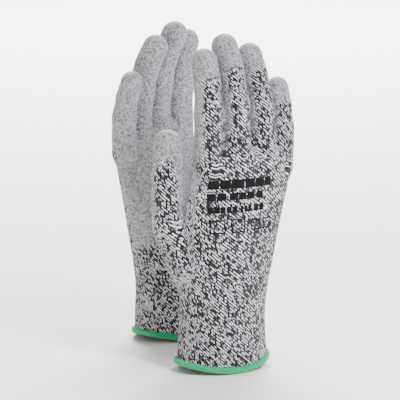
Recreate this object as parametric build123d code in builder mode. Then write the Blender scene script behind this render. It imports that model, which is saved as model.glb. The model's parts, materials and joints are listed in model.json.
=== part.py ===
from build123d import *
from math import cos, sin, pi, radians
import os

# A pair of knitted, palm-coated cut resistant gloves, each standing on its hem.
# Millimetres.  Inside one glove: +X is the little finger's side, +Y the palm's side, +Z the fingers.
# Every piece is made once in that frame and set down twice, because both gloves are right hands.

# ---- walls and clearances
linerWall = 1.0        # knitted fabric
coatWall = 0.5         # dipped coating
coatGap = 0.15         # between fabric and coating
printWall = 0.3        # transfer print on the back
jointGap = 0.4         # between the two sides of a knuckle
shoulderGap = 2.6      # extra room on the palm's side of a knuckle
threadWall = 0.8       # elastic thread, square

# ---- hem and cuff: an oval that narrows from the hem to the wrist
hemHeight = 5.5
hemBulge = 1.0         # the stitched hem is fatter than the cuff
hemHalfWidth = 39.4
hemHalfDepth = 27.4
wristHeight = 52.0
wristHalfWidth = 37.8
wristHalfDepth = 26.4
seamGap = 0.2          # between hem, cuff and palm

# ---- palm above the wrist: height, centre x, centre y, half width, half depth, arch
palmSections = [
    (wristHeight, 0, -0.6, wristHalfWidth, wristHalfDepth, 0),
    (70, 0.8, -2.4, 39.6, 25.6, 0),
    (90, 2, -4.6, 42.2, 24.0, 0.4),
    (110, 3.8, -7, 44.4, 21.8, 1.4),
    (130, 6.6, -10, 46.2, 18.6, 3),
    (150, 10, -13.6, 47.2, 15.2, 5),
    (178, 13.2, -18, 46.6, 12.4, 8),
]

# ---- thumb root, a swelling on the palm's side: height, centre x, centre y, half width, half depth
rootSections = [
    (60, -15, 0.5, 20, 18),
    (80, -23, 3, 21.5, 19.5),
    (96, -31, 5.2, 20, 17.5),
    (110, -39, 7, 16.5, 15),
    (122, -45, 8, 13.4, 13.2),
    (136, -46, 8.2, 12.8, 12.6),
]

# ---- fingers: knuckle place, sideways lean, bend of each bone from upright, bone lengths,
#      half width and half depth at knuckle, middle knuckle and last knuckle, palm's direction
fingers = {
    "index": dict(knuckle=(-22.5, -13.5, 168), lean=3.6, bends=(3, 11, 20), bones=(41, 25, 28),
                  widths=(11.25, 10.9, 10.3), depths=(12.0, 11.6, 10.6), faces=0, outward=-1),
    "middle": dict(knuckle=(2, -18, 170), lean=3.6, bends=(8, 20, 32), bones=(45, 29, 31),
                   widths=(11.25, 10.9, 10.3), depths=(12.0, 11.6, 10.6), faces=0, outward=0),
    "ring": dict(knuckle=(26.5, -16.5, 168), lean=3.8, bends=(9, 21, 33), bones=(42, 27, 29),
                 widths=(11.25, 10.7, 10.0), depths=(12.0, 11.4, 10.4), faces=0, outward=0),
    "pinky": dict(knuckle=(49.2, -10, 163), lean=6.6, bends=(7, 17, 27), bones=(30, 18, 24),
                  widths=(9.9, 9.5, 8.9), depths=(10.6, 10.2, 9.2), faces=0, outward=1),
    "thumb": dict(knuckle=(-46, 8.2, 122), lean=0, bends=(-3, 2, 6), bones=(37, 16, 22),
                  widths=(12.2, 12.0, 11.2), depths=(12.2, 11.8, 10.8), faces=-38, outward=1),
}
knuckleSlab = 12.6     # half width of the palm that one finger's knuckle cuts
thumbSlab = 14.0       # the same at the thumb
edgeSlab = 22.0        # the same towards the palm's edge
fullDip = 24.0         # length of fingertip that is coated all round
stripAngle = 45.0      # half angle of bare knit along the back of a finger

# ---- coating, print and elastic
coatStart = 84.0       # height where the palm's coating begins
coatEdgeLow = -4.0     # y of the coating's edge at coatStart
coatEdgeHigh = -19.0   # y of the coating's edge at palmTop
elasticRings = 6
elasticFirst = 10.0
elasticBelowWrist = 7.0    # the top thread stops this far below the wrist
printRows = [(154.6, 58, 7.2), (144.7, 50, 5.8), (134.3, 52, 5), (121, 56, 11)]   # height, length, thickness
printCentre = 3.0

# ---- where the two gloves stand, about the middle of the pair: x, y, turn about Z
gloves = {"front": (16.3, -59, 32), "rear": (-23.7, 53, 228)}


def cuffOval(height, grow):
    """Half width and half depth of the cuff at a height, grown by grow."""
    share = (1 - cos(pi * height / wristHeight)) / 2
    halfWidth = hemHalfWidth + (wristHalfWidth - hemHalfWidth) * share
    halfDepth = hemHalfDepth + (wristHalfDepth - hemHalfDepth) * share
    return halfWidth + grow, halfDepth + grow


def cuffBody(grow, heights):
    """The cuff's form, grown by grow, through the given heights."""
    with BuildPart() as body:
        for height in heights:
            with BuildSketch(Plane((0, palmSections[0][2] * height / wristHeight, height))):
                Ellipse(*cuffOval(height, grow))
        loft()
    return body.part


def palmOutline(centreX, centreY, halfWidth, halfDepth, arch):
    """Points round a section of the palm: an ellipse whose ends curl towards the palm's side."""
    turns = [2 * pi * step / 12 for step in range(12)]
    return [(centreX + halfWidth * cos(t), centreY + halfDepth * sin(t) + arch * cos(t) ** 2)
            for t in turns]


def palmBody(grow):
    """The hand's form from the wrist to the knuckles with the thumb's root, grown by grow."""
    with BuildPart() as body:
        for z, x, y, halfWidth, halfDepth, arch in palmSections:
            with BuildSketch(Plane.XY.offset(z)):
                with BuildLine():
                    Spline(*palmOutline(x, y, halfWidth + grow, halfDepth + grow, arch), periodic=True)
                make_face()
        loft()
        for z, x, y, halfWidth, halfDepth in rootSections:
            with BuildSketch(Plane((x, y, z))):
                Ellipse(halfWidth + grow, halfDepth + grow)
        loft()
    return body.part


def fingerFrames(finger):
    """Planes at a finger's two joints and its last knuckle: x sideways, z along the bone."""
    face = radians(finger["faces"])
    palmward = Vector(-sin(face), cos(face), 0)
    lean = radians(finger["lean"])
    sideways = Vector(cos(face) * cos(lean), sin(face) * cos(lean), -sin(lean))
    up = sideways.cross(palmward)
    place = Vector(*finger["knuckle"])
    frames = []
    for bend, bone in zip(finger["bends"], finger["bones"]):
        angle = radians(bend)
        along = up * cos(angle) + palmward * sin(angle)
        frames.append(Plane(origin=place, x_dir=sideways, z_dir=along))
        place = place + along * bone
    return frames


def endAbove(frame, radius):
    """What a joint takes off the piece above it: all below the axis outside the knuckle's round."""
    with BuildPart() as tool:
        with BuildSketch(frame):
            Rectangle(120, 120)
        extrude(amount=-60)
        with BuildSketch(Plane(origin=frame.origin, x_dir=frame.z_dir, z_dir=frame.x_dir)):
            Circle(radius)
        extrude(amount=60, both=True, mode=Mode.SUBTRACT)
    return tool.part


def endBelow(frame, radius, left, right):
    """What a joint takes off the piece below it: the knuckle's round, its palm side and all above."""
    reach = 60
    side = Plane(origin=frame.origin - frame.x_dir * left, x_dir=frame.z_dir, z_dir=frame.x_dir)
    palmward = frame.y_dir.dot(side.y_dir)
    with BuildPart() as tool:
        with BuildSketch(side):
            Circle(radius + jointGap)
            with Locations((reach / 2, 0)):
                Rectangle(reach, 2 * reach)
            with Locations(((reach - radius - shoulderGap) / 2, palmward * reach / 2)):
                Rectangle(reach + radius + shoulderGap, reach)
        extrude(amount=left + right)
    return tool.part


def knuckleRadius(finger, joint):
    """The round end of the piece above a joint, just outside its coating."""
    return finger["depths"][joint] + coatGap + coatWall + coatGap


def lowerTube(finger, grow):
    """The finger between its two joints, grown by grow."""
    frames = fingerFrames(finger)
    overrun = knuckleRadius(finger, 0) + 1
    with BuildPart() as tube:
        for joint, shift in ((0, -overrun), (0, 0), (1, 0), (1, overrun)):
            rise = shift if joint == 0 else finger["bones"][0] + shift
            with BuildSketch(frames[0].offset(rise)):
                Ellipse(finger["widths"][joint] + grow, finger["depths"][joint] + grow)
        loft(ruled=True)
    return tube.part


def upperTube(finger, grow):
    """The finger from its middle knuckle to the rounded tip, grown by grow."""
    frames = fingerFrames(finger)
    width, depth = finger["widths"][2] + grow, finger["depths"][2] + grow
    tip = finger["bones"][2] + grow
    overrun = knuckleRadius(finger, 1) + 1
    with BuildPart() as tube:
        for rise in (-overrun, 0):
            with BuildSketch(frames[1].offset(rise)):
                Ellipse(finger["widths"][1] + grow, finger["depths"][1] + grow)
        with BuildSketch(frames[2]):
            Ellipse(width, depth)
        for angle in (0, 25, 45, 62, 76):
            rise = tip - depth * (1 - sin(radians(angle)))
            with BuildSketch(frames[2].offset(rise)):
                Ellipse(width * cos(radians(angle)), depth * cos(radians(angle)))
        loft(ruled=True)
    return tube.part


def bareStrip(finger, frame, rise):
    """The wedge along a finger's back that the coating leaves bare, from far below up to rise."""
    reach = 30
    angle = radians(stripAngle)
    corner = (reach * sin(angle), -reach * cos(angle))
    with BuildPart() as wedge:
        with BuildSketch(frame.offset(-reach)):
            Polygon((0, 0), (-corner[0], corner[1]), corner, align=None)
        extrude(amount=rise + reach)
    return wedge.part


def saveForBothGloves(piece, name):
    """Set a finished piece down in each glove's place and write it."""
    for glove, (x, y, turn) in gloves.items():
        placed = piece.part.moved(Location((x, y, 0), (0, 0, turn)))
        placed.label = f"{glove}_{name}"
        export_step(placed, f"parts/{glove}_{name}.step")


os.makedirs("parts", exist_ok=True)

# ---- what the five knuckles take off the palm's pieces
palmTop = palmSections[-1][0]
knuckleCuts = []
for name, finger in fingers.items():
    frame = fingerFrames(finger)[0]
    left = edgeSlab if finger["outward"] < 0 else knuckleSlab
    right = edgeSlab if finger["outward"] > 0 else knuckleSlab
    if name == "thumb":
        left = right = thumbSlab
    knuckleCuts.append(endBelow(frame, knuckleRadius(finger, 0), left, right))

# ---- palm and back: one knitted shell, open at the wrist, the fingers and the thumb
with BuildPart() as palmLiner:
    add(palmBody(0))
    add(palmBody(-linerWall), mode=Mode.SUBTRACT)
    for cut in knuckleCuts:
        add(cut, mode=Mode.SUBTRACT)
saveForBothGloves(palmLiner, "palm_liner")

# ---- ribbed cuff
cuffHeights = [hemHeight + seamGap, wristHeight / 3, wristHeight * 2 / 3, wristHeight - seamGap]
with BuildPart() as cuffKnit:
    add(cuffBody(0, cuffHeights))
    add(cuffBody(-linerWall, cuffHeights), mode=Mode.SUBTRACT)
saveForBothGloves(cuffKnit, "cuff_knit")

# ---- overlock hem round the cuff's mouth
with BuildPart() as overlockHem:
    add(cuffBody(hemBulge, (0, hemHeight)))
    add(cuffBody(-linerWall - hemBulge, (0, hemHeight)), mode=Mode.SUBTRACT)
saveForBothGloves(overlockHem, "overlock_hem")

# ---- elastic threads laid inside the cuff
elasticPitch = (wristHeight - elasticBelowWrist - elasticFirst) / (elasticRings - 1)
with BuildPart() as elasticThreads:
    for ring in range(elasticRings):
        height = elasticFirst + elasticPitch * ring
        centre = (0, palmSections[0][2] * height / wristHeight, height)
        with BuildSketch(Plane(centre)):
            Ellipse(*cuffOval(height, -linerWall - coatGap))
            Ellipse(*cuffOval(height, -linerWall - coatGap - threadWall), mode=Mode.SUBTRACT)
        extrude(amount=threadWall)
saveForBothGloves(elasticThreads, "elastic_threads")

# ---- coating on the palm, turned up round both edges of the hand
with BuildPart() as palmCoating:
    add(palmBody(coatGap + coatWall))
    add(palmBody(coatGap), mode=Mode.SUBTRACT)
    with BuildSketch(Plane.YZ.offset(-100)):
        Polygon((coatEdgeLow, coatStart), (coatEdgeHigh, palmTop), (-90, palmTop), (-90, 0),
                (90, 0), (90, coatStart), align=None)
    extrude(amount=200, mode=Mode.SUBTRACT)
    for cut in knuckleCuts:
        add(cut, mode=Mode.SUBTRACT)
saveForBothGloves(palmCoating, "palm_coating")

# ---- plain rows printed on the back
with BuildPart() as backPrint:
    with BuildSketch(Plane.XZ.offset(12)):
        for height, length, thickness in printRows:
            with Locations((printCentre, height)):
                RectangleRounded(length, thickness, 1)
    extrude(amount=60)
    add(palmBody(coatGap + printWall), mode=Mode.INTERSECT)
    add(palmBody(coatGap), mode=Mode.SUBTRACT)
saveForBothGloves(backPrint, "back_print")

# ---- fingers and thumb: two knitted tubes and two coatings each
for name, finger in fingers.items():
    frames = fingerFrames(finger)
    lowRadius, highRadius = knuckleRadius(finger, 0), knuckleRadius(finger, 1)
    lowEnd = endAbove(frames[0], lowRadius)
    highEnd = endAbove(frames[1], highRadius)
    middleCut = endBelow(Plane(origin=frames[1].origin, x_dir=frames[1].x_dir, z_dir=frames[0].z_dir),
                         highRadius, edgeSlab, edgeSlab)

    with BuildPart() as lowerLiner:
        add(lowerTube(finger, 0))
        add(lowerTube(finger, -linerWall), mode=Mode.SUBTRACT)
        add(lowEnd, mode=Mode.SUBTRACT)
        add(middleCut, mode=Mode.SUBTRACT)
    saveForBothGloves(lowerLiner, f"{name}_base_liner")

    with BuildPart() as lowerCoat:
        add(lowerTube(finger, coatGap + coatWall))
        add(lowerTube(finger, coatGap), mode=Mode.SUBTRACT)
        add(lowEnd, mode=Mode.SUBTRACT)
        add(middleCut, mode=Mode.SUBTRACT)
        add(bareStrip(finger, frames[0], 120), mode=Mode.SUBTRACT)
    saveForBothGloves(lowerCoat, f"{name}_base_coating")

    with BuildPart() as upperLiner:
        add(upperTube(finger, 0))
        add(upperTube(finger, -linerWall), mode=Mode.SUBTRACT)
        add(highEnd, mode=Mode.SUBTRACT)
    saveForBothGloves(upperLiner, f"{name}_tip_liner")

    with BuildPart() as upperCoat:
        add(upperTube(finger, coatGap + coatWall))
        add(upperTube(finger, coatGap), mode=Mode.SUBTRACT)
        add(highEnd, mode=Mode.SUBTRACT)
        add(bareStrip(finger, frames[2], finger["bones"][2] - fullDip), mode=Mode.SUBTRACT)
    saveForBothGloves(upperCoat, f"{name}_tip_coating")
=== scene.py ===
import json
from math import cos, sin, pi, radians, atan2

import bpy
import numpy as np
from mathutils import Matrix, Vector
from mathutils.bvhtree import BVHTree


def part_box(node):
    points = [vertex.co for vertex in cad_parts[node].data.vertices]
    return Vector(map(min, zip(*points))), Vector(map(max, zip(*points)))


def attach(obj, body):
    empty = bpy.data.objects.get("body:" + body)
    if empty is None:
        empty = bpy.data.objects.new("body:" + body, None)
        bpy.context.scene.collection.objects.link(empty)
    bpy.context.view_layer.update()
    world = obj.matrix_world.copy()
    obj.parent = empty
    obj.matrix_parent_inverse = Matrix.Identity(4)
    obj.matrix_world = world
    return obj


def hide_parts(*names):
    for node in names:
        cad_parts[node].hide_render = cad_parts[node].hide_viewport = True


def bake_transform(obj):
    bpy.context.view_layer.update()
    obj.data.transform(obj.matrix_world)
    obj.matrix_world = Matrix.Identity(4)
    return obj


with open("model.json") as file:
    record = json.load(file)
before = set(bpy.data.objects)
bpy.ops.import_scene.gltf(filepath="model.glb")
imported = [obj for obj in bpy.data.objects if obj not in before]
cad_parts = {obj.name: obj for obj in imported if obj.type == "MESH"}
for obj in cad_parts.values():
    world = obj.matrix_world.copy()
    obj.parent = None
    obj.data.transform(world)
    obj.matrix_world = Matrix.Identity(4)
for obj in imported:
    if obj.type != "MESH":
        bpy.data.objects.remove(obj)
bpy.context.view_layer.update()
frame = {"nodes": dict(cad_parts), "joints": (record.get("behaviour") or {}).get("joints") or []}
gloves = ("front", "rear")
mm = 0.001
joints = {joint["name"]: joint for joint in frame["joints"]}

# Shapes are worked out in millimetres in a glove's own frame and then set down in the row frame:
# +x is the little finger's side, +y the palm's side, +z the fingers.
print("frame loaded:", len(frame["nodes"]), "nodes")


def smoothstep(low, high, value):
    t = np.clip((value - low) / (high - low), 0, 1)
    return t * t * (3 - 2 * t)


def catmullRom(knots, values, at):
    # smooth curve through values given at knots, one row of values for each knot
    knots, values, at = np.array(knots, float), np.array(values, float), np.atleast_1d(at)
    slopes = np.gradient(values, knots, axis=0)
    index = np.clip(np.searchsorted(knots, at, side="right") - 1, 0, len(knots) - 2)
    span = knots[index + 1] - knots[index]
    t = ((at - knots[index]) / span)[:, None]
    a, b = values[index], values[index + 1]
    ma, mb = slopes[index] * span[:, None], slopes[index + 1] * span[:, None]
    return ((2 * t**3 - 3 * t**2 + 1) * a + (t**3 - 2 * t**2 + t) * ma
            + (3 * t**2 - 2 * t**3) * b + (t**3 - t**2) * mb)


def tube(rings):
    # closed mesh data from rings of points, with both ends capped
    sides, points, faces = len(rings[0]), np.concatenate(rings), []
    for ring in range(len(rings) - 1):
        for side in range(sides):
            a, b = ring * sides + side, ring * sides + (side + 1) % sides
            faces.append((a, b, b + sides, a + sides))
    faces.append(tuple(range(sides))[::-1])
    faces.append(tuple(range(len(points) - sides, len(points))))
    return points, faces


def newMesh(name, points, faces):
    mesh = bpy.data.meshes.new(name)
    mesh.from_pydata(np.asarray(points).tolist(), [], [tuple(face) for face in faces])
    mesh.update()
    mesh.polygons.foreach_set("use_smooth", [True] * len(mesh.polygons))
    return mesh


def newObject(name, data):
    thing = bpy.data.objects.new(name, data)
    bpy.context.scene.collection.objects.link(thing)
    return thing


def meshPoints(mesh):
    points = np.empty(len(mesh.vertices) * 3)
    mesh.vertices.foreach_get("co", points)
    return points.reshape(-1, 3)


def baked(thing):
    # the object's mesh with its modifiers applied
    view = bpy.context.evaluated_depsgraph_get()
    return bpy.data.meshes.new_from_object(thing.evaluated_get(view))


hand = {
    # height, centre x, centre y, half width, half depth, arch
    "sections": [(-4, 0, 0, 39.4, 27.4, 0), (5, 0, 0, 39.3, 27.3, 0), (24, 0, -0.3, 38.3, 26.8, 0),
                 (46, 0, -0.5, 37.5, 26.3, 0), (70, 0.8, -2.4, 39.3, 25.6, 0),
                 (90, 2, -4.6, 42.0, 24.0, 0.4), (110, 3.8, -7, 44.2, 21.8, 1.4),
                 (130, 6.6, -10, 46.0, 18.6, 3), (150, 10, -13.6, 46.8, 15.2, 5),
                 (168, 12.4, -16.4, 46.4, 12.9, 7), (177, 13.1, -17.6, 46.0, 11.4, 8),
                 (181, 13.2, -17.8, 45.0, 7.6, 8), (182.6, 13.2, -17.8, 43.5, 3.0, 8)],
    # thumb root: height, centre x, centre y, half width, half depth
    "root": [(56, -12, 0, 18, 17), (78, -22.5, 3, 21.5, 19.5), (96, -31, 5.2, 19.6, 17.5),
             (110, -38.6, 7, 16.2, 15.2), (122, -44.4, 8, 13.4, 13.2), (134, -46.2, 8.2, 12.6, 12.4)],
    "pinkyDrop": 5.0,       # the web is lower beside the little finger
    "ringStep": 3.0,
    "sides": 96,
    "rootSides": 56,
    "hemTop": 5.0,
    "sideLift": 6.0,        # the standing hem rises at its two sides
    "fingersAbove": 140.0,  # nothing lower belongs to one of the four fingers
    "thumbWithin": 22.0,    # nothing further from the thumb's line belongs to it
    "voxel": 0.95,
    "voxelQuick": 1.6,
}

fingerSides = 56
fingers = {
    # bends from upright, bone lengths, half widths and depths at both joints and the last knuckle,
    # where the knit is cut at the knuckle and how far either side of the next one, the way the
    # palm's side faces, how far the root narrows inside the hand, and where the tube starts
    "index": dict(bends=(3, 11, 20), bones=(41, 25, 28), widths=(11.3, 11.3, 10.7),
                  depths=(12.2, 12.0, 10.9), low=(5, 28), high=10, palm=0, sink=24, start=-26),
    "middle": dict(bends=(8, 20, 32), bones=(45, 29, 31), widths=(11.3, 11.3, 10.7),
                   depths=(12.2, 12.0, 10.9), low=(5, 30), high=10, palm=0, sink=24, start=-26),
    "ring": dict(bends=(9, 21, 33), bones=(42, 27, 29), widths=(11.3, 11.0, 10.4),
                 depths=(12.2, 11.8, 10.7), low=(5, 28), high=10, palm=0, sink=24, start=-26),
    "pinky": dict(bends=(7, 17, 27), bones=(30, 18, 24), widths=(10.0, 9.8, 9.2),
                  depths=(10.8, 10.6, 9.4), low=(5, 20), high=8, palm=0, sink=20, start=-26),
    "thumb": dict(bends=(-3, 2, 6), bones=(37, 16, 22), widths=(12.4, 12.2, 11.4),
                  depths=(12.4, 12.0, 11.0), low=(6, 24), high=10, palm=-38, sink=30, start=-14),
}
jointNames = {name: (f"{name}_knuckle", f"{name}_middle_knuckle") for name in fingers}
jointNames["thumb"] = ("thumb_knuckle", "thumb_last_knuckle")


def glovePlace(glove):
    # turn about Z and place of a glove, from the frame's own hem and knuckle
    axis = joints[f"{glove}_middle_knuckle"]["axis"]
    low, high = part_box(f"{glove}_overlock_hem")
    return atan2(-axis[1], -axis[0]), (Vector(low) + Vector(high)) / 2


def settled(points):
    # the soft cuff sags to the floor at front and back and lifts at its sides
    points = np.array(points, float)
    x, z = points[:, 0] / 40, points[:, 2]
    points[:, 2] += hand["sideLift"] * x**2 * (1 - smoothstep(-8, 52, z))
    return points


def toRow(points, glove):
    turn, centre = glovePlace(glove)
    points = np.asarray(points, float) * mm
    x, y = points[:, 0], points[:, 1]
    return np.stack([x * cos(turn) - y * sin(turn) + centre.x,
                     x * sin(turn) + y * cos(turn) + centre.y, points[:, 2]], 1)


def toGlove(point, glove):
    turn, centre = glovePlace(glove)
    x, y = point[0] - centre.x, point[1] - centre.y
    return np.array([x * cos(turn) + y * sin(turn), -x * sin(turn) + y * cos(turn), point[2]]) / mm


def prepareFingers():
    # each finger's joints from the frame, and its line on to the tip
    for name, finger in fingers.items():
        low, high = (joints[f"front_{joint}"] for joint in jointNames[name])
        knuckle, second = toGlove(low["pos_m"], "front"), toGlove(high["pos_m"], "front")
        face = radians(finger["palm"])
        palmward = np.array([-sin(face), cos(face), 0])
        along = (second - knuckle) / np.linalg.norm(second - knuckle)
        side = np.cross(palmward, along)
        side /= np.linalg.norm(side)
        up = np.cross(side, palmward)
        places, directions = [knuckle, second], [along]
        for bend, bone in list(zip(finger["bends"], finger["bones"]))[1:]:
            along = up * cos(radians(bend)) + palmward * sin(radians(bend))
            directions.append(along)
            places.append(places[-1] + along * bone)
        finger.update(places=np.array(places), directions=np.array(directions),
                      side=side, palmward=palmward, length=sum(finger["bones"]))


def fingerLine(finger, at):
    # points and directions along a finger, at distances from its knuckle; it runs on straight below
    bones = finger["bones"]
    knots = [-60, 0, bones[0], bones[0] + bones[1], finger["length"]]
    places = np.vstack([finger["places"][0] - 60 * finger["directions"][0], finger["places"]])
    points = catmullRom(knots, places, at)
    step = 0.5
    ahead = catmullRom(knots, places, np.asarray(at) + step)
    behind = catmullRom(knots, places, np.asarray(at) - step)
    directions = (ahead - behind) / np.linalg.norm(ahead - behind, axis=1)[:, None]
    return points, directions


def fingerSize(finger, at):
    # half width and half depth along a finger, rounded off at the tip and slim between the knuckles
    bones, at = finger["bones"], np.asarray(at, float)
    knots = [-60, 0, bones[0], bones[0] + bones[1], finger["length"]]
    widths = np.array([finger["widths"][k] for k in (0, 0, 1, 2, 2)])
    depths = np.array([finger["depths"][k] for k in (0, 0, 1, 2, 2)])
    sizes = catmullRom(knots, np.stack([widths, depths], 1), at)
    slim = 0.35 * np.cos(2 * pi * (at - bones[0]) / bones[1]) * smoothstep(0, bones[0], at)
    slim *= 1 - smoothstep(bones[0] + bones[1], finger["length"] - 8, at)
    fromTip = np.clip((finger["length"] - at) / (finger["depths"][2] * 1.12), 0, 1)
    dome = np.sqrt(np.clip(1 - (1 - fromTip) ** 2.2, 0, 1))
    sunk = 0.45 + 0.55 * smoothstep(-finger["sink"], -2, at)
    return (sizes + slim[:, None]) * (dome * sunk)[:, None]


def fingerTube(finger):
    length = finger["length"]
    tip = length - np.array([10, 8, 6, 4.4, 3, 2, 1.2, 0.6, 0.2, 0.03])
    at = np.concatenate([np.arange(finger["start"], length - 11, 2.0), tip])
    points, directions = fingerLine(finger, at)
    sizes = fingerSize(finger, at)
    turns = np.linspace(0, 2 * pi, fingerSides, endpoint=False)
    rings = []
    for point, direction, (width, depth) in zip(points, directions, sizes):
        deep = np.cross(direction, finger["side"])
        deep /= np.linalg.norm(deep)
        rings.append(point + width * np.cos(turns)[:, None] * finger["side"]
                     + depth * np.sin(turns)[:, None] * deep)
    return tube(rings)


def handSection(heights):
    knots = [row[0] for row in hand["sections"]]
    return catmullRom(knots, [row[1:] for row in hand["sections"]], np.clip(heights, knots[0], knots[-1]))


def palmTube():
    top = hand["sections"][-1][0]
    heights = np.concatenate([np.arange(-4, 168, hand["ringStep"]), np.linspace(168, top, 14)])
    turns = np.linspace(0, 2 * pi, hand["sides"], endpoint=False)
    rings = []
    for z, (x, y, width, depth, arch) in zip(heights, handSection(heights)):
        px = x + width * np.cos(turns)
        py = y + depth * np.sin(turns) + arch * np.cos(turns) ** 2
        drop = hand["pinkyDrop"] * smoothstep(22, 52, px) * smoothstep(140, top, z)
        rings.append(np.stack([px, py, z - drop], 1))
    return tube(rings)


def rootTube():
    knots = [row[0] for row in hand["root"]]
    heights = np.arange(knots[0], knots[-1] + 0.1, 2.0)
    turns = np.linspace(0, 2 * pi, hand["rootSides"], endpoint=False)
    rings = []
    sections = catmullRom(knots, [row[1:] for row in hand["root"]], heights)
    for z, (x, y, width, depth) in zip(heights, sections):
        rings.append(np.stack([x + width * np.cos(turns), y + depth * np.sin(turns),
                               np.full(len(turns), z)], 1))
    return tube(rings)


def gloveSkin():
    # one closed skin over palm, thumb root and fingers: tubes joined, voxel remeshed and relaxed
    parts = [palmTube(), rootTube()] + [fingerTube(finger) for finger in fingers.values()]
    points, faces, offset = [], [], 0
    for partPoints, partFaces in parts:
        points.append(partPoints)
        faces += [tuple(index + offset for index in face) for face in partFaces]
        offset += len(partPoints)
    thing = newObject("skinSource", newMesh("skinSource", np.concatenate(points), faces))
    remesh = thing.modifiers.new("voxels", "REMESH")
    remesh.mode = "VOXEL"
    remesh.voxel_size = hand["voxel"]
    relax = thing.modifiers.new("relax", "SMOOTH")
    relax.factor, relax.iterations = 0.5, 5
    mesh = baked(thing)
    bpy.data.objects.remove(thing)
    return mesh


def fingerCoordinates(points, finger):
    # distance along a finger, distance from its line, and angle round it from the middle of its back
    at = np.linspace(-60, finger["length"], 180)
    line, directions = fingerLine(finger, at)
    best = np.zeros(len(points), int)
    block = 20000      # so many points at a time, to spare memory
    for first in range(0, len(points), block):
        gaps = ((points[first:first + block, None, :] - line[None, :, :]) ** 2).sum(2)
        best[first:first + block] = gaps.argmin(1)
    offset = points - line[best]
    shift = (offset * directions[best]).sum(1)
    offset = offset - shift[:, None] * directions[best]
    deep = np.cross(directions[best], finger["side"])
    angle = np.arctan2((offset * finger["side"]).sum(1), -(offset * deep).sum(1))
    return at[best] + shift, np.linalg.norm(offset, axis=1), angle


coating = {
    "fullDip": {"index": 25, "middle": 32, "ring": 25, "pinky": 23, "thumb": 23},    # tip coated all round
    "strip": 50.0,          # half angle of bare knit along a finger's back, degrees
    "webRise": 34.0,        # the strips widen into the back of the hand over this length
    "webAngle": 55.0,       # by this much more, degrees
    "swell": 1.75, "swellReach": 5.0,      # the edge rounds off in the corner below the dipped tip
    "palmStart": 84.0,      # lowest height of the coating on the palm, and on the thumb root
    "thumbStart": 96.0,
    "handAngle": {"radial": 66.0, "ulnar": 84.0},
    "handRadius": 32.0, "thumbRadius": 13.0,       # turn an angle into millimetres of skin
    "thumbReach": 24.0, "thumbAngle": 64.0, "palmAngle": 150.0,
}


def handAngles(points):
    # angle round the hand from the middle of its back, and how far a point lies outside the palm's form
    x, y, width, depth, arch = handSection(points[:, 2]).T
    ax = (points[:, 0] - x) / width
    ay = (points[:, 1] - y - arch * np.clip(ax, -1, 1) ** 2) / depth
    above = np.maximum(points[:, 2] - hand["sections"][-1][0], 0)
    return np.arctan2(ax, -ay), (np.sqrt(ax**2 + ay**2) - 1) * depth + above


def fingerCoat(name, finger, along, angle):
    # millimetres inside the coating's edge, negative on bare knit
    strip = np.full(len(along), radians(coating["strip"]))
    rise = 1 - smoothstep(4, coating["webRise"], along)
    for sign in (-1, 1):
        outer = (name == "index" and sign < 0) or (name == "pinky" and sign > 0) or name == "thumb"
        widened = (np.sign(angle) == sign) & (not outer)
        strip = np.where(widened, strip + rise * radians(coating["webAngle"]), strip)
    aside = (np.abs(angle) - strip) * finger["widths"][1]
    fromTip = along - (finger["length"] - coating["fullDip"][name])
    corner = np.exp(-((aside - fromTip) / coating["swellReach"]) ** 2)
    return np.maximum(aside, fromTip) + coating["swell"] * corner


def handCoat(points):
    angle, _ = handAngles(points)
    limits = coating["handAngle"]
    limit = np.where(angle < 0, radians(limits["radial"]), radians(limits["ulnar"]))
    aside = (np.abs(angle) - limit) * coating["handRadius"]
    palm = np.minimum(aside, points[:, 2] - coating["palmStart"])
    _, distance, around = fingerCoordinates(points, fingers["thumb"])
    thumbEdge = (np.abs(around) - radians(coating["thumbAngle"])) * coating["thumbRadius"]
    thumb = np.minimum(thumbEdge, points[:, 2] - coating["thumbStart"])
    onThumb = (distance < coating["thumbReach"]) & (angle > -radians(coating["palmAngle"])) & (angle < 0)
    return np.where(onThumb, np.minimum(palm, thumb), palm)


def pieceOf(points):
    # which piece each point belongs to: -1 the hand, then two for each finger
    _, outside = handAngles(points)
    piece = np.full(len(points), -1)
    slack = []
    for finger in fingers.values():
        finger["chart"] = fingerCoordinates(points, finger)
        slack.append(finger["chart"][1] - finger["widths"][0])
    nearest = np.argmin(slack, 0)
    for index, (name, finger) in enumerate(fingers.items()):
        along, distance, _ = finger["chart"]
        middle = (finger["low"][1] + finger["bones"][0] - finger["high"]) / 2
        mine = (nearest == index) & (along > finger["low"][0] - 2)
        if name == "thumb":
            mine &= (slack[index] < outside) & (distance < hand["thumbWithin"])
        else:
            mine &= points[:, 2] > hand["fingersAbove"]
        piece[mine] = index * 2 + (along[mine] > middle)
    return piece


def unwrapped(angles):
    # corner angles of each face carried on past half a turn, so that no face spans the wrap
    return angles[:, :1] + (angles - angles[:, :1] + pi) % (2 * pi) - pi


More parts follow.
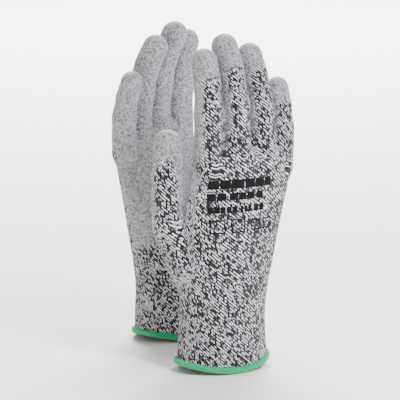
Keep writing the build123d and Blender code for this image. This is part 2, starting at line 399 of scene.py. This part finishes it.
def cutPieces(mesh):
    # faces sorted by piece; a face goes with the lowest piece of its corners
    points, normals = meshPoints(mesh), np.empty(len(mesh.vertices) * 3)
    mesh.vertices.foreach_get("normal", normals)
    normals = normals.reshape(-1, 3)
    piece = pieceOf(points)
    corners = np.empty(len(mesh.loops), int)
    mesh.loops.foreach_get("vertex_index", corners)
    quads = corners.reshape(-1, 4)
    quads = quads[points[quads][:, :, 2].min(1) > hand["hemTop"] - 2.2]
    facePiece = piece[quads].min(1)
    handTurn, _ = handAngles(points)
    handDip = handCoat(points)
    cut = {}
    for index in np.unique(facePiece):
        mine = quads[facePiece == index]
        if index < 0:
            turn, upward, coat, wales = handTurn, points[:, 2], handDip, knit["handWales"]
        else:
            name = list(fingers)[index // 2]
            along, _, turn = fingers[name]["chart"]
            upward, wales = along + fingers[name]["places"][0][2], knit["fingerWales"]
            coat = fingerCoat(name, fingers[name], along, turn)
            share = smoothstep(0, 8, along)
            coat = share * coat + (1 - share) * handDip
        used, inverse = np.unique(mine, return_inverse=True)
        cut[int(index)] = dict(points=points[used], faces=inverse.reshape(-1, 4), normals=normals[used],
                               column=unwrapped(turn[mine]) * wales / (2 * pi) + 200 * index,
                               row=upward[mine] / knit["course"], coat=coat[mine])
    return cut


def addAttribute(mesh, name, values):
    attribute = mesh.attributes.new(name, "FLOAT", "CORNER")
    attribute.data.foreach_set("value", np.asarray(values, np.float32).ravel())


def gloveMesh(title, data, glove):
    turn, _ = glovePlace(glove)
    mesh = newMesh(title, toRow(settled(data["points"]), glove), data["faces"])
    x, y, z = data["normals"].T
    turned = np.stack([x * cos(turn) - y * sin(turn), x * sin(turn) + y * cos(turn), z], 1)
    mesh.normals_split_custom_set_from_vertices(turned.tolist())
    for name in ("column", "row", "coat"):
        addAttribute(mesh, name, data[name])
    return mesh


def linear(hexColour):
    # sRGB hex to linear RGBA
    channels = [int(hexColour[i:i + 2], 16) / 255 for i in (1, 3, 5)]
    return (*[c / 12.92 if c <= 0.04045 else ((c + 0.055) / 1.055) ** 2.4 for c in channels], 1)


def newMaterial(name):
    material = bpy.data.materials.new(name)
    material.use_nodes = True
    material.node_tree.nodes.clear()
    return material, material.node_tree


def addNode(tree, kind, inputs=None, **settings):
    # one node; a tuple (node, socket) as an input is linked, anything else is set
    node = tree.nodes.new(kind)
    for key, value in settings.items():
        setattr(node, key, value)
    for key, value in (inputs or {}).items():
        if isinstance(value, tuple) and len(value) == 2 and isinstance(value[0], bpy.types.Node):
            tree.links.new(value[0].outputs[value[1]], node.inputs[key])
        else:
            node.inputs[key].default_value = value
    return node


def maths(tree, operation, a, b=0.0, c=0.0):
    return addNode(tree, "ShaderNodeMath", {0: a, 1: b, 2: c}, operation=operation), 0


def centred(tree, node, weight):
    # a node's 0 to 1 output as plus or minus half the weight
    return maths(tree, "MULTIPLY_ADD", (node, 0), weight, -weight / 2)


knit = {
    "handWales": 150,       # stitches round the hand: 13 gauge, about 1.5 mm each when relaxed
    "fingerWales": 48,
    "course": 1.3,          # stitch height in mm
    "slant": 0.5,           # how far a leg of the stitch climbs, in courses
    "sway": 0.4,            # how far the stitches wander off their columns and rows, in stitches
    "relief": 0.45,         # mm
    # what decides how dark a stitch is: its own yarn, its turn, twist along it, its leg (painted light: the
    # right leg is made lighter, as if it faced the lamp), slow patches
    "speckle": 0.80, "turnAbout": 0.70, "twist": 0.5, "leg": 0.10, "patch": 0.20,
    "stops": [(0.61, "#0B0A0C"), (0.68, "#4A4446"), (0.75, "#8A868C"), (0.85, "#F4F2F8")],
}
polyurethane = {
    "colour": "#A9A8AC", "shade": "#666366", "relief": 0.10,
    "edge": 2.4, "ragged": 10.0, "specks": 2.2,        # mm
}


def knitAndCoating():
    # 13 gauge marl knit of polyethylene and glass yarn, dipped in grey polyurethane:
    # matt salt-and-pepper stitches, each read as one slanted stroke with its right leg painted lighter and
    # painted shade between the legs, and a fine-grained film with the knit showing through
    material, tree = newMaterial("marlKnitDippedInPolyurethane")
    u = (addNode(tree, "ShaderNodeAttribute", attribute_name="column"), 2)
    v = (addNode(tree, "ShaderNodeAttribute", attribute_name="row"), 2)
    coat = (addNode(tree, "ShaderNodeAttribute", attribute_name="coat"), 2)
    place = (addNode(tree, "ShaderNodeTexCoord"), 3)

    wander = addNode(tree, "ShaderNodeTexNoise", {"Vector": place, "Scale": 160.0, "Detail": 1.0})
    sway = centred(tree, wander, knit["sway"])
    column = maths(tree, "ADD", u, sway)
    legX = maths(tree, "MULTIPLY", maths(tree, "FRACT", column), 2.0)      # two legs to a stitch
    acrossLeg = maths(tree, "FRACT", legX)
    fromMiddle = maths(tree, "SUBTRACT", 1.0, legX)
    row = maths(tree, "ADD", v, sway)
    climbing = maths(tree, "MULTIPLY_ADD", fromMiddle, -knit["slant"], row)
    alongLeg = maths(tree, "FRACT", climbing)
    stitch = maths(tree, "FLOOR", climbing)
    columnNumber = maths(tree, "FLOOR", column)

    # the marl: each stitch is its own mix of dark and light yarn, in streaks along its legs,
    # and mostly takes turns with its neighbours
    cell = addNode(tree, "ShaderNodeCombineXYZ", {0: columnNumber, 1: stitch, 2: 0.0})
    # painted light: the right leg of each stitch is made lighter, as if it faced the lamp
    paintedLitLeg = maths(tree, "FLOOR", legX)
    speckle = addNode(tree, "ShaderNodeTexWhiteNoise", {"Vector": (cell, 0)}, noise_dimensions="3D")
    streak = addNode(tree, "ShaderNodeCombineXYZ", {
        0: maths(tree, "MULTIPLY", legX, 0.9),
        1: maths(tree, "MULTIPLY", climbing, 2.1), 2: maths(tree, "MULTIPLY", columnNumber, 3.7)})
    twist = addNode(tree, "ShaderNodeTexNoise", {"Vector": (streak, 0), "Scale": 1.3, "Detail": 1.0})
    patch = addNode(tree, "ShaderNodeTexNoise", {"Vector": place, "Scale": 45.0, "Detail": 1.0})
    placeInKnit = maths(tree, "ADD", stitch, columnNumber)
    turnAbout = maths(tree, "FRACT", maths(tree, "MULTIPLY", placeInKnit, 0.5))
    mixed = centred(tree, twist, knit["twist"])
    for part in (maths(tree, "MULTIPLY", (speckle, 0), knit["speckle"]),
                 maths(tree, "MULTIPLY", turnAbout, knit["turnAbout"]),
                 maths(tree, "MULTIPLY", paintedLitLeg, knit["leg"]),
                 centred(tree, patch, knit["patch"])):
        mixed = maths(tree, "ADD", mixed, part)
    ramp = addNode(tree, "ShaderNodeValToRGB", {0: mixed})
    while len(ramp.color_ramp.elements) < len(knit["stops"]):
        ramp.color_ramp.elements.new(0.5)
    for element, (at, tone) in zip(ramp.color_ramp.elements, knit["stops"]):
        element.position, element.color = at, linear(tone)

    # a leg is round across, with painted shade darkening its edges and the gaps between courses
    roundX = maths(tree, "SINE", maths(tree, "MULTIPLY", acrossLeg, pi))
    roundY = maths(tree, "SINE", maths(tree, "MULTIPLY", alongLeg, pi))
    height = maths(tree, "MULTIPLY", maths(tree, "POWER", roundX, 0.6),
                   maths(tree, "POWER", roundY, 0.6))
    # painted shade: the yarn's colour is darkened to 0.3 of itself where legs meet and between courses
    gap = addNode(tree, "ShaderNodeMapRange", {0: height, 1: 0.05, 2: 0.62, 3: 0.30, 4: 1.0})
    yarn = addNode(tree, "ShaderNodeMix", {0: 1.0, 6: (ramp, 0), 7: (gap, 0)},
                   data_type="RGBA", blend_type="MULTIPLY")

    # the film: thin at its edge, where yarn stands through it as specks
    pores = addNode(tree, "ShaderNodeTexNoise", {"Vector": place, "Scale": 520.0, "Detail": 3.0})
    ragged = addNode(tree, "ShaderNodeTexNoise", {"Vector": place, "Scale": 210.0, "Detail": 2.0})
    edge = maths(tree, "ADD", coat, centred(tree, ragged, polyurethane["ragged"]))
    edge = maths(tree, "ADD", edge, centred(tree, height[0], -polyurethane["specks"]))
    film = addNode(tree, "ShaderNodeMapRange", {
        0: edge, 1: -polyurethane["edge"] / 2, 2: polyurethane["edge"] / 2})
    thick = addNode(tree, "ShaderNodeMapRange", {0: coat, 1: 0.0, 2: 20.0, 3: 0.34, 4: 0.13})
    filmTone = addNode(tree, "ShaderNodeMapRange", {0: (pores, 0), 1: 0.36, 2: 0.58})
    filmColour = addNode(tree, "ShaderNodeMix", {0: (filmTone, 0), 6: linear(polyurethane["shade"]),
                                                 7: linear(polyurethane["colour"])}, data_type="RGBA")
    shown = addNode(tree, "ShaderNodeMix", {0: (thick, 0), 6: (filmColour, 2), 7: (yarn, 2)},
                    data_type="RGBA")
    colour = addNode(tree, "ShaderNodeMix", {0: (film, 0), 6: (yarn, 2), 7: (shown, 2)},
                     data_type="RGBA")

    roughness = addNode(tree, "ShaderNodeMapRange", {0: (film, 0), 3: 0.92, 4: 0.62})
    grain = maths(tree, "MULTIPLY_ADD", (pores, 0), polyurethane["relief"] * 2,
                  maths(tree, "MULTIPLY", height, polyurethane["relief"]))
    knitRelief = maths(tree, "MULTIPLY", height, knit["relief"])
    relief = addNode(tree, "ShaderNodeMix", {0: (film, 0), 2: knitRelief, 3: grain})
    bump = addNode(tree, "ShaderNodeBump", {"Strength": 0.85, "Distance": mm, "Height": (relief, 0)})
    shader = addNode(tree, "ShaderNodeBsdfPrincipled", {
        "Base Color": (colour, 2), "Roughness": (roughness, 0), "Normal": (bump, 0),
        "IOR": 1.5, "Specular IOR Level": 0.35, "Sheen Weight": 0.12, "Sheen Roughness": 0.6})
    addNode(tree, "ShaderNodeOutputMaterial", {0: (shader, 0)})
    return material


def threadMaterial(name, piece):
    # spun polyester sewing thread: matt, twisted, with a soft sheen
    material, tree = newMaterial(name)
    place = (addNode(tree, "ShaderNodeTexCoord"), 3)
    fibre = addNode(tree, "ShaderNodeTexNoise", {
        "Vector": place, "Scale": 1 / (piece["pitch"] * mm), "Detail": 2.0})
    tone = addNode(tree, "ShaderNodeMapRange", {0: (fibre, 0), 1: 0.35, 2: 0.6})
    mixed = addNode(tree, "ShaderNodeMix", {0: (tone, 0), 6: linear(piece["dark"]), 7: linear(piece["colour"])},
                    data_type="RGBA")
    bump = addNode(tree, "ShaderNodeBump", {"Strength": 0.5, "Distance": 0.15 * mm, "Height": (fibre, 0)})
    shader = addNode(tree, "ShaderNodeBsdfPrincipled", {
        "Base Color": (mixed, 2), "Roughness": 0.7, "Normal": (bump, 0), "IOR": 1.5,
        "Specular IOR Level": 0.35, "Sheen Weight": 0.25, "Sheen Roughness": 0.5})
    addNode(tree, "ShaderNodeOutputMaterial", {0: (shader, 0)})
    return material


def printMaterial():
    # black plastisol transfer: matt ink pressed into the knit, broken where a stitch stands up
    material, tree = newMaterial("blackTransferInk")
    place = (addNode(tree, "ShaderNodeTexCoord"), 3)
    broken = addNode(tree, "ShaderNodeTexNoise", {"Vector": place, "Scale": 700.0, "Detail": 2.0})
    tone = addNode(tree, "ShaderNodeMapRange", {0: (broken, 0), 1: 0.45, 2: 0.75})
    mixed = addNode(tree, "ShaderNodeMix", {
        0: (tone, 0), 6: linear(inkBlocks["colour"]), 7: linear(inkBlocks["worn"])}, data_type="RGBA")
    bump = addNode(tree, "ShaderNodeBump", {"Strength": 0.6, "Distance": 0.2 * mm, "Height": (broken, 0)})
    shader = addNode(tree, "ShaderNodeBsdfPrincipled", {
        "Base Color": (mixed, 2), "Roughness": 0.75, "Normal": (bump, 0), "IOR": 1.45,
        "Specular IOR Level": 0.2})
    addNode(tree, "ShaderNodeOutputMaterial", {0: (shader, 0)})
    return material


prepareFingers()
skin = gloveSkin()
skinPoints = meshPoints(skin)
pieces = cutPieces(skin)
print("skin:", len(skin.vertices), "points in", len(pieces), "pieces")
gloveSurface = knitAndCoating()
fingerNames = list(fingers)

for glove in gloves:
    for index, data in pieces.items():
        if index < 0:
            thing = newObject(f"{glove}_hand_skin", gloveMesh(f"{glove}_hand_skin", data, glove))
            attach(thing, f"{glove}_hand")
            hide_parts(f"{glove}_palm_liner", f"{glove}_palm_coating", f"{glove}_cuff_knit")
        else:
            name = fingerNames[index // 2]
            segment = "tip" if index % 2 else "base"
            title = f"{glove}_{name}_{segment}_skin"
            thing = newObject(title, gloveMesh(title, data, glove))
            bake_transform(thing)
            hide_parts(f"{glove}_{name}_{segment}_liner", f"{glove}_{name}_{segment}_coating")
        thing.data.materials.append(gloveSurface)
print("skins cut and placed")


hem = {
    "halfWidth": 40.0, "halfDepth": 28.0, "middle": 3.2, "band": 2.1,
    "turns": 150, "stepsPerTurn": 14, "thread": 0.62, "threadSides": 6,
    "height": 2.378, "depth": 1.25, "lean": 0.010,
    "bandInset": 0.25, "bandSteps": 160, "bandSides": 12,
    "colour": "#1FC486", "dark": "#0B8655", "pitch": 0.5,
}
elastic = {"colour": "#D9D7D8", "dark": "#9A989B", "pitch": 0.5}
inkBlocks = {
    # left end, lower edge, height, then block widths along the row; plain blocks stand in for lettering
    "rows": [(-27.0, 151.0, 7.2, (9.0, 8.6, 10.4, 8.6, 8.0, 6.0)),
             (-27.0, 141.8, 5.8, (6.6, 7.0, 0, 6.8, 6.6, 6.2, 0, 6.0)),
             (-27.0, 131.8, 5.0, (4.0, 4.0, 4.0, 4.0, 4.0, 0, 2.6, 2.6, 2.6, 0, 4.4, 4.4))],
    "gap": 0.9, "space": 1.8, "lift": 0.25, "grid": 0.8,
    # left end, lower edge, width and height of each outlined square
    "frames": [(-26.0, 115.5, 12.5, 11.0), (-9.0, 115.5, 12.5, 11.0),
               (9.0, 116.5, 8.6, 8.6), (21.0, 116.5, 8.6, 8.6)],
    "line": 1.1, "colour": "#060607", "worn": "#1C1B1E",
}


def hemThreads():
    # overlock seam: a soft band with one thread wound round it, leaning as it goes
    turns = np.linspace(0, 2 * pi, hem["turns"] * hem["stepsPerTurn"], endpoint=False)
    wind = turns * hem["turns"]
    outward = np.stack([np.cos(turns) / hem["halfWidth"], np.sin(turns) / hem["halfDepth"]], 1)
    outward /= np.linalg.norm(outward, axis=1)[:, None]
    lean = hem["lean"] * np.sin(wind)
    reach = hem["depth"] * np.cos(wind)
    x = hem["halfWidth"] * np.cos(turns + lean) + outward[:, 0] * reach
    y = hem["halfDepth"] * np.sin(turns + lean) + outward[:, 1] * reach
    z = hem["middle"] + hem["height"] * np.sin(wind)
    line = np.stack([x, y, z], 1)
    along = np.roll(line, -1, 0) - np.roll(line, 1, 0)
    along /= np.linalg.norm(along, axis=1)[:, None]
    side = np.cross(along, (0, 0, 1))
    side /= np.linalg.norm(side, axis=1)[:, None]
    lift = np.cross(side, along)
    spokes = np.linspace(0, 2 * pi, hem["threadSides"], endpoint=False)
    rings = [line + hem["thread"] * (np.cos(a) * side + np.sin(a) * lift) for a in spokes]
    points = np.stack(rings, 1).reshape(-1, 3)
    count, sides = len(line), len(spokes)
    faces = [(a * sides + s, a * sides + (s + 1) % sides, ((a + 1) % count) * sides + (s + 1) % sides,
              ((a + 1) % count) * sides + s) for a in range(count) for s in range(sides)]
    # the band inside the winding
    bandSteps, bandSides, offset = hem["bandSteps"], hem["bandSides"], len(points)
    ring = np.linspace(0, 2 * pi, bandSteps, endpoint=False)
    normal = np.stack([np.cos(ring) / hem["halfWidth"], np.sin(ring) / hem["halfDepth"]], 1)
    normal /= np.linalg.norm(normal, axis=1)[:, None]
    cross = np.linspace(0, 2 * pi, bandSides, endpoint=False)
    band = []
    for a in range(bandSteps):
        for c in cross:
            reach = (hem["depth"] - hem["bandInset"]) * cos(c)
            band.append([hem["halfWidth"] * cos(ring[a]) + normal[a, 0] * reach,
                         hem["halfDepth"] * sin(ring[a]) + normal[a, 1] * reach,
                         hem["middle"] + hem["band"] * sin(c)])
    faces += [(offset + a * bandSides + s, offset + a * bandSides + (s + 1) % bandSides,
               offset + (a + 1) % bandSteps * bandSides + (s + 1) % bandSides,
               offset + (a + 1) % bandSteps * bandSides + s)
              for a in range(bandSteps) for s in range(bandSides)]
    return np.vstack([points, band]), faces


def inkPatch(tree, left, low, width, height, points, faces):
    # one block of ink laid on the skin as a small grid
    columns, rows = (max(2, round(size / inkBlocks["grid"]) + 1) for size in (width, height))
    offset = len(points)
    for z in np.linspace(low, low + height, rows):
        for x in np.linspace(left, left + width, columns):
            hit, normal, _, _ = tree.ray_cast(Vector((x, -80, z)), Vector((0, 1, 0)))
            points.append(np.array(hit) + np.array(normal) * inkBlocks["lift"])
    for row in range(rows - 1):
        for column in range(columns - 1):
            a = offset + row * columns + column
            faces.append((a, a + 1, a + 1 + columns, a + columns))


def inkMarks():
    tree = BVHTree.FromPolygons(skinPoints.tolist(), [tuple(face.vertices) for face in skin.polygons])
    points, faces = [], []
    for left, low, height, widths in inkBlocks["rows"]:
        for width in widths:
            if width:
                inkPatch(tree, left, low, width, height, points, faces)
            left += width + (inkBlocks["gap"] if width else inkBlocks["space"])
    line = inkBlocks["line"]
    for left, low, width, height in inkBlocks["frames"]:
        inkPatch(tree, left, low, width, line, points, faces)
        inkPatch(tree, left, low + height - line, width, line, points, faces)
        inkPatch(tree, left, low + line, line, height - 2 * line, points, faces)
        inkPatch(tree, left + width - line, low + line, line, height - 2 * line, points, faces)
    return np.array(points), faces


hemThread = threadMaterial("greenPolyesterThread", hem)
elasticThread = threadMaterial("whiteCoveredElastic", elastic)
ink = printMaterial()
hemPoints, hemFaces = hemThreads()
markPoints, markFaces = inkMarks()
for glove in gloves:
    title = f"{glove}_hem_threads"
    edging = newObject(title, newMesh(title, toRow(settled(hemPoints), glove), hemFaces))
    edging.data.materials.append(hemThread)
    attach(edging, f"{glove}_hand")
    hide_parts(f"{glove}_overlock_hem")
    title = f"{glove}_ink_marks"
    marks = newObject(title, newMesh(title, toRow(markPoints, glove), markFaces))
    marks.data.materials.append(ink)
    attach(marks, f"{glove}_hand")
    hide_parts(f"{glove}_back_print")
    threads = frame["nodes"][f"{glove}_elastic_threads"]
    threads.data.materials.clear()
    threads.data.materials.append(elasticThread)
print("hem, marks and elastic made")


studio = {
    "target": (-0.0013, -0.059, 0.137), "distance": 2.0, "elevation": 10.5, "lens": 225,
    "floor": "#FFFFFF", "floorReach": 6, "room": "#FFF8F4", "roomStrength": 0.6,
    # each lamp's name, place, width, power, colour and what it is aimed at
    "lamps": [("key", (0.60, -0.80, 0.90), 0.30, 20, "#F4F8FF", (0, 0, 0.13)),
              ("fill", (-0.9, -1.0, 0.5), 0.8, 2, "#FFFFFF", (0, 0, 0.13)),
              ("backdrop", (0, 2.4, 2.0), 2.4, 330, "#FFFFFF", (0, 2.0, 0))],
}


def aimed(name, data, place, target):
    # a lamp or camera set at a place and turned to face a target
    thing = newObject(name, data)
    thing.location = place
    thing.rotation_mode = "QUATERNION"
    thing.rotation_quaternion = (Vector(target) - Vector(place)).to_track_quat("-Z", "Y")
    return thing


def softLamp(name, place, size, power, colour, target):
    lamp = bpy.data.lights.new(name, "AREA")
    lamp.shape, lamp.size, lamp.energy = "DISK", size, power
    lamp.color = linear(colour)[:3]
    aimed(name, lamp, place, target)


def buildStudio():
    reach = studio["floorReach"]
    corners = [(-reach, -reach, 0), (reach, -reach, 0), (reach, reach, 0), (-reach, reach, 0)]
    floor = newObject("floor", newMesh("floor", corners, [(0, 1, 2, 3)]))
    material, tree = newMaterial("paleFloor")
    shader = addNode(tree, "ShaderNodeBsdfPrincipled", {"Base Color": linear(studio["floor"]), "Roughness": 0.9})
    addNode(tree, "ShaderNodeOutputMaterial", {0: (shader, 0)})
    floor.data.materials.append(material)
    world = bpy.data.worlds.new("paleRoom")
    world.use_nodes = True
    background = world.node_tree.nodes["Background"]
    background.inputs[0].default_value = linear(studio["room"])
    background.inputs[1].default_value = studio["roomStrength"]
    bpy.context.scene.world = world
    for lamp in studio["lamps"]:
        softLamp(*lamp)
    camera = bpy.data.cameras.new("camera")
    camera.lens = studio["lens"]
    rise, target = radians(studio["elevation"]), Vector(studio["target"])
    place = target + Vector((0, -cos(rise), sin(rise))) * studio["distance"]
    bpy.context.scene.camera = aimed("camera", camera, place, target)


buildStudio()
